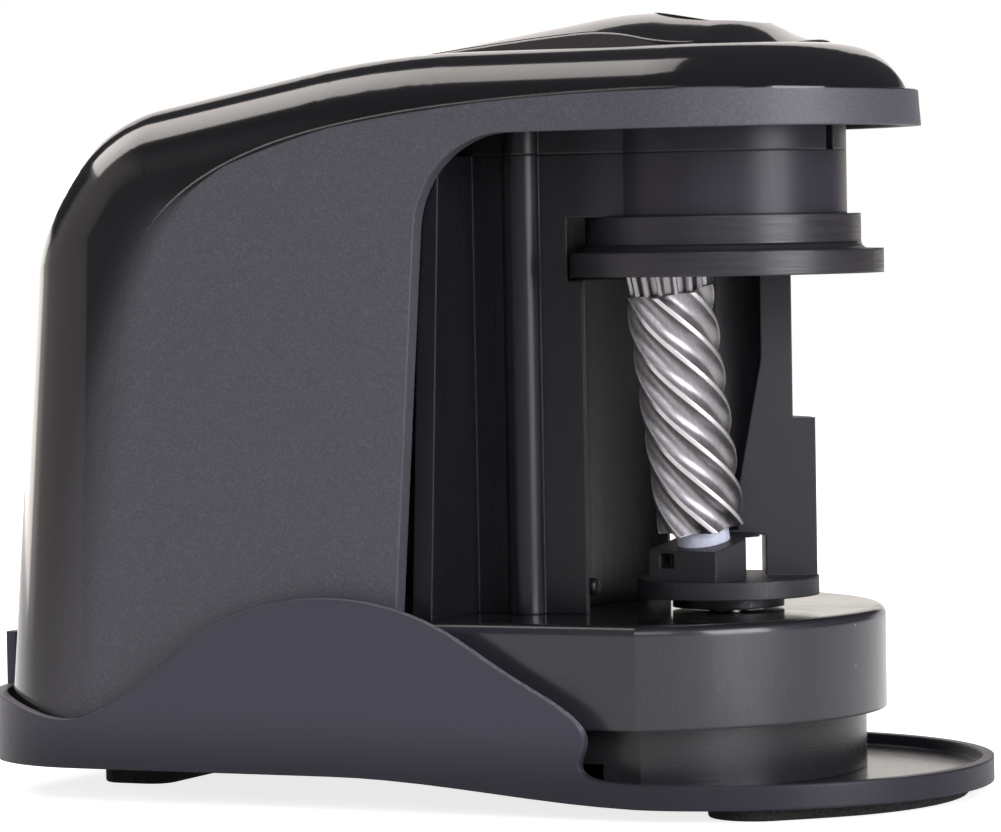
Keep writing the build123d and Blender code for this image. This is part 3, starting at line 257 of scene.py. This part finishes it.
def foam_pad(node, outline):
    """A die-cut slab of foam with softened edges, in the place of its CAD solid."""
    level, crush = 1e-6, 0.00035
    low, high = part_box(node)
    mesh = bmesh.new()
    ring = [mesh.verts.new((x, y, low.z)) for x, y in outline(low, high)]
    sole = mesh.faces.new(ring)
    raised = bmesh.ops.extrude_face_region(mesh, geom=[sole])
    tops = [part for part in raised["geom"] if isinstance(part, bmesh.types.BMVert)]
    bmesh.ops.translate(mesh, verts=tops, vec=(0, 0, high.z - low.z))
    bmesh.ops.recalc_face_normals(mesh, faces=mesh.faces)
    rims = [edge for edge in mesh.edges
            if abs(edge.verts[0].co.z - edge.verts[1].co.z) < level]
    bmesh.ops.bevel(mesh, geom=rims, offset=crush, segments=3, profile=0.5,
                    affect="EDGES", material=-1)
    pad = placed(node + "_foam", mesh)
    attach(pad, "chassis")
    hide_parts(node)
    return pad


def tongue_outline(low, high):
    """The round front of the tongue, cut off straight at the rear with large round corners."""
    radius, corner, corner_y = 0.0298, 0.006, 0.0215
    corner_x = low.x + corner
    return (arc(high.x - radius, 0, radius, range(-46, 47, 4))
            + arc(corner_x, corner_y, corner, range(50, 181, 10))
            + arc(corner_x, -corner_y, corner, range(180, 311, 10)))


def bar_outline(low, high):
    """A bar with round corners."""
    corner = 0.003
    left, right = low.x + corner, high.x - corner
    near, far = low.y + corner, high.y - corner
    points = []
    for index, (x, y) in enumerate(((right, far), (left, far), (left, near), (right, near))):
        points += arc(x, y, corner, range(90 * index, 90 * index + 91, 15))
    return points


foam = Finish("black_foam", roughness=0.95)
pores = foam.cells(0.45, "Distance")
foam.tones(foam.span(pores, 0.1, 0.6), (0.006, 0.006, 0.006, 1), (0.024, 0.024, 0.024, 1))
foam.bump(pores + foam.grain(0.25, 2) * 0.6, 0.12, 0.3)
for pad in (foam_pad("front_pad", tongue_outline), foam_pad("rear_pad", bar_outline)):
    pad.data.materials.append(foam.material)

# Gearbox tub: a plain black moulding with fine drag lines, which stands in the base tray and
# holds the gear train. It is hidden but for its recessed neck under the deck.

tub = Finish("gearbox_tub_plastic", specular_ior_level=0.4)
drag = tub.grain(0.5, 2, tub.stretched((9, 9, 0.5)))
tub.tones(tub.grain(6, 3), (0.012, 0.012, 0.013, 1), (0.020, 0.020, 0.022, 1))
tub.drive("Roughness", tub.polish(drag, 0.26, 0.29))
tub.bump(drag, 0.0004, 0.3)
dress(tub, "gearbox_tub")

# Bushes, axles and shafts: sintered bronze bushes soaked in oil and pressed into the gearbox,
# and ground steel pins and shafts that the gears, the carrier and the cutter turn on.

bronze = Finish("sintered_bronze", metallic=1.0)
sinter = bronze.grain(0.2, 2)
bronze.tones(sinter, (0.34, 0.21, 0.10, 1), (0.60, 0.42, 0.23, 1))
bronze.drive("Roughness", bronze.polish(sinter, 0.35, 0.55))
bronze.bump(sinter, 0.02, 0.15)
dress(bronze, "deck_bush", "floor_bush")

ground = Finish("ground_steel", metallic=1.0)
lines = ground.grain(0.12, 2, ground.stretched((6, 6, 0.3)))
ground.tones(lines, (0.46, 0.46, 0.47, 1), (0.66, 0.66, 0.67, 1))
ground.drive("Roughness", ground.polish(lines, 0.18, 0.34))
dress(ground, "idler_axles", "carrier_shaft", "cutter_axle", "motor_shaft")

# Gears and start lever: moulded in natural nylon, slightly translucent and waxy. The motor's
# own pinion is turned brass, pressed on its shaft, and its terminals are of the same brass.

nylon = Finish("natural_nylon", subsurface_weight=0.15)
nylon.tones(nylon.grain(3, 3), (0.60, 0.57, 0.48, 1), (0.74, 0.72, 0.65, 1))
nylon.drive("Roughness", nylon.polish(nylon.grain(1.2, 2), 0.28, 0.46))
nylon.bump(nylon.grain(0.8, 2), 0.01, 0.1)
dress(nylon, "carrier_gear", "second_idler_gear", "first_idler_gear", "pencil_lever")

brass = Finish("turned_brass", metallic=1.0)
turning = brass.grain(0.1, 2, brass.stretched((4, 4, 0.2)))
brass.tones(turning, (0.62, 0.44, 0.18, 1), (0.80, 0.62, 0.30, 1))
brass.drive("Roughness", brass.polish(turning, 0.2, 0.36))
dress(brass, "motor_pinion", "motor_terminals")

# Gearbox cover: the polished black deck that the carrier turns above, screwed to the tub. Its
# top shows the room, its side is softly hazed by handling and painted lighter than the top as
# painted light, and specks of dust lie on it.

deck_side_painted_light, deck_top = (0.022, 0.021, 0.027, 1), (0.008, 0.008, 0.009, 1)
deck_dust = (0.28, 0.27, 0.28, 1)

deck = Finish("polished_deck", coat_weight=0.3, coat_roughness=0.06, specular_ior_level=0.4)
haze = deck.grain(9, 4, deck.stretched((1, 1, 2.5)))
upward = deck.span(deck.facing("Z"), 0.3, 0.9)
# Painted light: sides that face outwards get a lighter colour than the top.
deck.tones(deck.specks(1.5, 0.06), deck.mix(upward, deck_side_painted_light, deck_top), deck_dust)
deck.drive("Roughness", deck.span(haze, 0.35, 0.7, 0.20, 0.32) - upward * 0.14)
deck.bump(deck.grain(1.6, 2), 0.004, 0.6)
dress(deck, "gearbox_cover")

# Motor, switches, board and screws: a drawn can and screws with zinc plate, an armature of
# stacked iron sheets, an end cap, switches and inlet moulded in phenolic, and a glass-fibre
# board. The motor is screwed to the deck behind the bay, and the board stands on two posts.

zinc = Finish("zinc_plate", metallic=1.0)
bloom = zinc.grain(2.2, 4)
zinc.tones(bloom, (0.50, 0.51, 0.53, 1), (0.68, 0.68, 0.70, 1))
zinc.drive("Roughness", zinc.polish(bloom, 0.22, 0.40))
zinc.bump(zinc.grain(0.3, 2), 0.006, 0.2)
dress(zinc, "motor_can", "motor_screws", "frame_screws", "gearbox_screws", "base_screws",
      "carrier_screws")

laminate = Finish("laminated_iron", metallic=1.0)
sheets = laminate.node("TexWave", {"bands_direction": "Z"},
                       {"Vector": laminate.place, "Scale": 320.0}, "Fac")
laminate.tones(sheets, (0.22, 0.22, 0.23, 1), (0.44, 0.44, 0.45, 1))
laminate.drive("Roughness", laminate.span(sheets, 0.2, 0.8, 0.34, 0.5))
dress(laminate, "motor_armature")

phenolic = Finish("black_phenolic")
flow_marks = phenolic.grain(1.0, 3)
phenolic.tones(flow_marks, (0.014, 0.014, 0.015, 1), (0.034, 0.033, 0.034, 1))
phenolic.drive("Roughness", phenolic.polish(flow_marks, 0.38, 0.55))
dress(phenolic, "motor_end_cap", "pencil_switch", "interlock_switch", "dc_inlet")

board = Finish("board_laminate")
weave = board.node("TexWave", {},
                   {"Vector": board.place, "Scale": 600.0, "Distortion": 1.0}, "Fac")
board.tones(weave, (0.018, 0.085, 0.032, 1), (0.028, 0.12, 0.048, 1))
board.drive("Roughness", board.span(weave, 0.2, 0.8, 0.26, 0.4))
dress(board, "circuit_board")

# Bay frame: the black back wall with its pillar, round columns and the collar above, moulded
# smooth with faint vertical drag marks and screwed to the deck. The head frame, the pencil
# guide and the interlock plunger are moulded in the same plastic.

shaft_low, shaft_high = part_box("carrier_shaft")
AXIS = (shaft_low.x + shaft_high.x) / 2 * PER_METRE  # the upright axis that the carrier turns on
wall_dark, wall_light = (0.0065, 0.006, 0.0078, 1), (0.0105, 0.0096, 0.0122, 1)
collar_painted_sheen = (0.022, 0.020, 0.027, 1)
collar_rear, collar_front = -15.0, -9.0

bay = Finish("bay_plastic", specular_ior_level=0.3)
draw = bay.grain(0.6, 2, bay.stretched((0.8, 0.8, 14)))
collar = bay.span(bay.axis("X") - AXIS, collar_rear, collar_front)
orange_peel = bay.grain(0.9, 2)
# Painted sheen: the collar is coloured lighter than the back wall of the same plastic.
bay.tones(collar, bay.mix(bay.grain(11, 3), wall_dark, wall_light), collar_painted_sheen)
bay.drive("Roughness", bay.polish(draw, 0.27, 0.31) + collar * 0.06)
bay.bump(draw * 0.3 + orange_peel * collar, 0.004, 0.4)
dress(bay, "bay_frame", "head_frame", "pencil_guide", "interlock_plunger")

# Ring gear: the two-step flange that carries the inner bevel teeth, a satin black moulding on
# a spigot of the bay frame. The turned mould leaves rings on it and a small hollow fillet
# where the step stands on the flange.

flange = Finish("flange_plastic")
rings = flange.grain(0.7, 2, flange.stretched((16, 16, 0.5)))
flange.tones(flange.grain(7, 3), (0.012, 0.011, 0.014, 1), (0.021, 0.019, 0.0235, 1))
flange.drive("Roughness", flange.polish(rings, 0.30, 0.44))
flange.bump(rings * 0.6 + flange.grain(0.35, 2) * 0.4, 0.008, 0.35)
dress(flange, "ring_gear")

flange_depth, step_inset, hollow = 0.003, 0.0028, 0.00095
wall_bite, shelf_bite = 0.0001, 0.0002
ring_low, ring_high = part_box("ring_gear")
shelf = ring_low.z + flange_depth
fillet_x, fillet_top = ring_high.x - step_inset + hollow, shelf + hollow
buried_x, buried_z = fillet_x - hollow - wall_bite, shelf - shelf_bite
section = arc(fillet_x, fillet_top, hollow, (270, 240, 210, 180))
section += [(buried_x, fillet_top), (buried_x, buried_z), (fillet_x, buried_z)]
mesh = bmesh.new()
corners = [mesh.verts.new((x, 0, z)) for x, z in section]
edges = [mesh.edges.new(pair) for pair in zip(corners, corners[1:] + corners[:1])]
bmesh.ops.spin(mesh, geom=corners + edges, cent=(AXIS / PER_METRE, 0, 0), axis=(0, 0, 1),
               angle=radians(360), steps=120, use_merge=True)
bmesh.ops.recalc_face_normals(mesh, faces=mesh.faces)
for face in mesh.faces:
    face.smooth = len({round(vert.co.z, 6) for vert in face.verts}) > 1
fillet = placed("flange_fillet", mesh)
fillet.data.materials.append(flange.material)
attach(fillet, "chassis")

# Carrier: the turning frame of glass-filled black plastic, dull and slightly rough, moulded
# as a frame and a cap that are screwed together round the cutter.

carrier = Finish("carrier_plastic")
fibre = carrier.grain(0.3, 3)
carrier.tones(carrier.grain(5, 3), (0.009, 0.0085, 0.011, 1), (0.015, 0.014, 0.018, 1))
carrier.drive("Roughness", carrier.polish(fibre, 0.40, 0.58))
carrier.bump(fibre, 0.012, 0.35)
dress(carrier, "carrier_frame", "carrier_cap")

# Cutter: hardened steel, milled with a left-hand helix and ground on its lands, free to turn
# on a pin in the carrier. The flutes are grey from graphite, and the lands and the teeth of
# its pinion are bright, partly from grinding and partly as a painted highlight.

cutter_turn = (0, radians(11.5), radians(-104.5))
cutter_apex = (AXIS / PER_METRE, 0, 0.0073573)
land_foot, land_crest = 5.15, 5.48
flute_dark, flute_light = (0.22, 0.21, 0.22, 1), (0.40, 0.39, 0.40, 1)
land_ground_and_highlight = (0.62, 0.60, 0.60, 1)

tool = Finish("milled_tool_steel", metallic=1.0)
local = tool.stretched((1, 1, 1), cutter_turn, cutter_apex)
flat = tool.node("VectorMath", {"operation": "MULTIPLY"},
                 {0: local, 1: (PER_METRE, PER_METRE, 0)})
reach = tool.node("VectorMath", {"operation": "LENGTH"}, {0: flat}, "Value")
land = tool.span(reach, land_foot, land_crest)
scuff = tool.grain(0.5, 3, tool.stretched((1, 1, 5), cutter_turn, cutter_apex))
pits = tool.grain(0.4, 4)
# Ground metal and a painted highlight: the outermost radius is coloured bright.
tool.tones(land, tool.mix(scuff, flute_dark, flute_light), land_ground_and_highlight)
tool.drive("Roughness", tool.span(pits, 0.35, 0.7, 0.34, 0.46) - land * 0.04)
tool.bump(pits * 0.4 + scuff * 0.6, 0.010, 0.15)
dress(tool, "cutter", "cutter_pinion")

# Thrust washer: a small ring moulded in milky white acetal, loose on the cutter's pin between
# the cutter and the carrier.

acetal = Finish("white_acetal", subsurface_weight=0.2, roughness=0.35)
acetal.tones(acetal.grain(0.8, 3), (0.54, 0.52, 0.62, 1), (0.70, 0.69, 0.78, 1))
acetal.bump(acetal.grain(0.4, 2), 0.01, 0.2)
dress(acetal, "cutter_washer")

# Top panel: the polished black crown with the dished pencil hole, a separate moulding let into
# the hump with a narrow gap round it. A little dust lies on it.

gloss_black, crown_dust = (0.0075, 0.0073, 0.0085, 1), (0.3, 0.3, 0.3, 1)

crown = Finish("polished_crown", coat_weight=0.6, coat_roughness=0.04)
crown.tones(crown.specks(2.2, 0.05), gloss_black, crown_dust)
crown.drive("Roughness", crown.span(crown.grain(8, 4), 0.35, 0.7, 0.07, 0.13))
dress(crown, "top_panel")

# Main housing: one hump-shaped moulding, held by screws from under the base tray. Its crown
# and back are polished black, and the sides below the ledge and the band round the canopy are
# spark-eroded to a fine grey grain.

ledge_rear, ledge_run, ledge_rise = 90, 122, 100
ledge_curve = ((-90, 10), (-80, 42), (-73, 62), (-66, 73.4), (-56.5, 80), (-42, 84.4),
               (-21.6, 87), (0, 88), (32, 87.4))
ledge_stops = [((x + ledge_rear) / ledge_run, z / ledge_rise) for x, z in ledge_curve]
eroded_dark, eroded_light = (0.048, 0.046, 0.058, 1), (0.072, 0.070, 0.084, 1)
rear_slope, rear_start, rear_end = 8 / 66, -87.0, -74.0

housing = Finish("housing_plastic", coat_roughness=0.05)
across = housing.axis("X") - AXIS
up = housing.axis("Z")
ledge = housing.node("ValToRGB", {"stops": ledge_stops},
                     {"Fac": (across + ledge_rear) * (1 / ledge_run)}, "Color")
fade = housing.span(across, -60.0, -72.0, 0.15, 9.0)
below = housing.span(housing.red(ledge) * ledge_rise - up, 0 - fade, fade)
matte = below * housing.span(across - up * rear_slope, rear_start, rear_end)
erosion = housing.grain(0.30, 2) * 0.65 + housing.grain(0.16, 2) * 0.35
eroded = housing.mix(housing.span(erosion, 0.42, 0.68), eroded_dark, eroded_light)
housing.tones(matte, gloss_black, eroded)
housing.drive("Roughness", matte * 0.38 + 0.12)
housing.drive("Coat Weight", (1 - matte) * 0.6)
housing.bump(erosion * matte, 0.045, 0.4)
dress(housing, "main_housing")

# Studio: a pale paper floor, a low white backdrop behind and to the left, a grey card at the
# near left and six soft lamps. The rest of the room is dark, so that polished black shows the
# backdrop only along its far edges.

floor_mesh = bmesh.new()
bmesh.ops.create_grid(floor_mesh, x_segments=1, y_segments=1, size=1.5)
floor = placed("floor", floor_mesh)
floor_mirrored, floor_shown = (0.30, 0.29, 0.30, 1), (0.80, 0.80, 0.80, 1)
paper = Finish("white_paper", roughness=0.9, emission_strength=1.0)
paper.tones(paper.grain(30, 2), (0.50, 0.50, 0.50, 1), (0.53, 0.53, 0.53, 1))
glow = paper.mix(paper.seen(), (0, 0, 0, 1), floor_mirrored)
paper.drive("Emission Color", paper.mix(paper.ray("Camera"), glow, floor_shown))
floor.data.materials.append(paper.material)

backdrop_aim, card_aim = (-0.60, 0.80, 0.0), (-0.87, -0.48, 0.10)
room_dark, room_light = (0.05, 0.05, 0.055, 1), (0.40, 0.395, 0.39, 1)
backdrop_white, card_grey = (1.0, 0.95, 0.89, 1), (0.55, 0.50, 0.50, 1)
white = (1, 1, 1, 1)
world = bpy.data.worlds.new("studio")
world.use_nodes = True
bpy.context.scene.world = world
studio = Graph(world.node_tree)
heading = studio.node("TexCoord", {}, {}, "Generated")
low_down = studio.span(studio.node("SeparateXYZ", {}, {"Vector": heading}, "Z"), 0.24, 0.06)
behind = studio.span(studio.along(heading, backdrop_aim), 0.45, 0.70) * low_down
beside = studio.span(studio.along(heading, card_aim), 0.80, 0.93)
room = studio.mix(beside, studio.mix(behind, room_dark, backdrop_white), card_grey)
shown = studio.mix(studio.ray("Camera"), room, white)
light = studio.mix(studio.seen(), room_light, shown)
studio.tree.links.new(light.socket, studio.tree.nodes["Background"].inputs["Color"])


def softbox(name, place, target, size, power, spread=180.0, tint=(1, 1, 1)):
    """A rectangular diffused light aimed at a point."""
    lamp = bpy.data.lights.new(name, "AREA")
    lamp.shape = "RECTANGLE"
    lamp.size, lamp.size_y = size
    lamp.energy, lamp.spread, lamp.color = power, radians(spread), tint
    box = bpy.data.objects.new(name, lamp)
    box.location = place
    aim = Vector(target) - Vector(place)
    box.rotation_euler = aim.to_track_quat("-Z", "Y").to_euler()
    bpy.context.scene.collection.objects.link(box)
    return box


warm, cool = (1.0, 0.94, 0.90), (0.96, 0.94, 1.0)
middle, foot = (0.0, 0.0, 0.08), (0.0, 0.0, 0.05)
overhead = softbox("overhead", (0.0, 0.10, 0.80), foot, (0.9, 0.6), 4.5)
overhead.visible_glossy = False
softbox("left_panel", (-0.46, -0.05, 0.80), (0.55, 0.0, 0.0), (0.5, 0.9), 2.4, 110.0, warm)
edge_panel = softbox("edge_panel", (-1.00, 0.60, 0.14), middle, (0.8, 0.3), 1.5, tint=warm)
edge_panel.visible_camera = False
softbox("front_fill", (0.30, -0.80, 0.50), foot, (0.6, 0.5), 2.8, tint=cool)
softbox("right_fill", (0.85, -0.30, 0.30), (0.02, 0.0, 0.05), (0.5, 0.6), 8.5, tint=cool)
back_panel = softbox("back_panel", (-0.50, 1.00, 0.50), middle, (1.0, 0.6), 2.0, tint=warm)
back_panel.visible_camera = False

# Camera: the photograph's viewpoint, low and to the right of the side, with a long lens. Its
# place follows from the carrier's axis: the column that it stands in and the scale there.

IMAGE_WIDTH, IMAGE_HEIGHT = 1001, 832
FOCAL, HORIZON, ROLL, AZIMUTH = 5000.0, 215.0, radians(1.0), radians(24.5)
AXIS_COLUMN, PIXELS_PER_MM, EYE = 722.5, 8.0, 73.0
dip = atan((IMAGE_HEIGHT / 2 - HORIZON) / FOCAL)
ahead = Vector((-sin(AZIMUTH) * cos(dip), cos(AZIMUTH) * cos(dip), -sin(dip)))
side = Vector((cos(AZIMUTH), sin(AZIMUTH), 0))
upright = side.cross(ahead)
right = side * cos(ROLL) - upright * sin(ROLL)
top = side * sin(ROLL) + upright * cos(ROLL)
ray = ahead + right * (AXIS_COLUMN - IMAGE_WIDTH / 2) / FOCAL
ray = ray - top * (ray.z / top.z)
eye = Vector((AXIS, 0, EYE)) - ray * FOCAL / PIXELS_PER_MM
lens = bpy.data.cameras.new("camera")
lens.sensor_width = 36.0
lens.lens = FOCAL * lens.sensor_width / IMAGE_WIDTH
lens.clip_start = 0.01
camera = bpy.data.objects.new("camera", lens)
view = Matrix((right, top, -ahead)).transposed().to_4x4()
camera.matrix_world = Matrix.Translation(eye / PER_METRE) @ view
bpy.context.scene.collection.objects.link(camera)
bpy.context.scene.camera = camera
bpy.context.scene.view_settings.view_transform = "Standard"
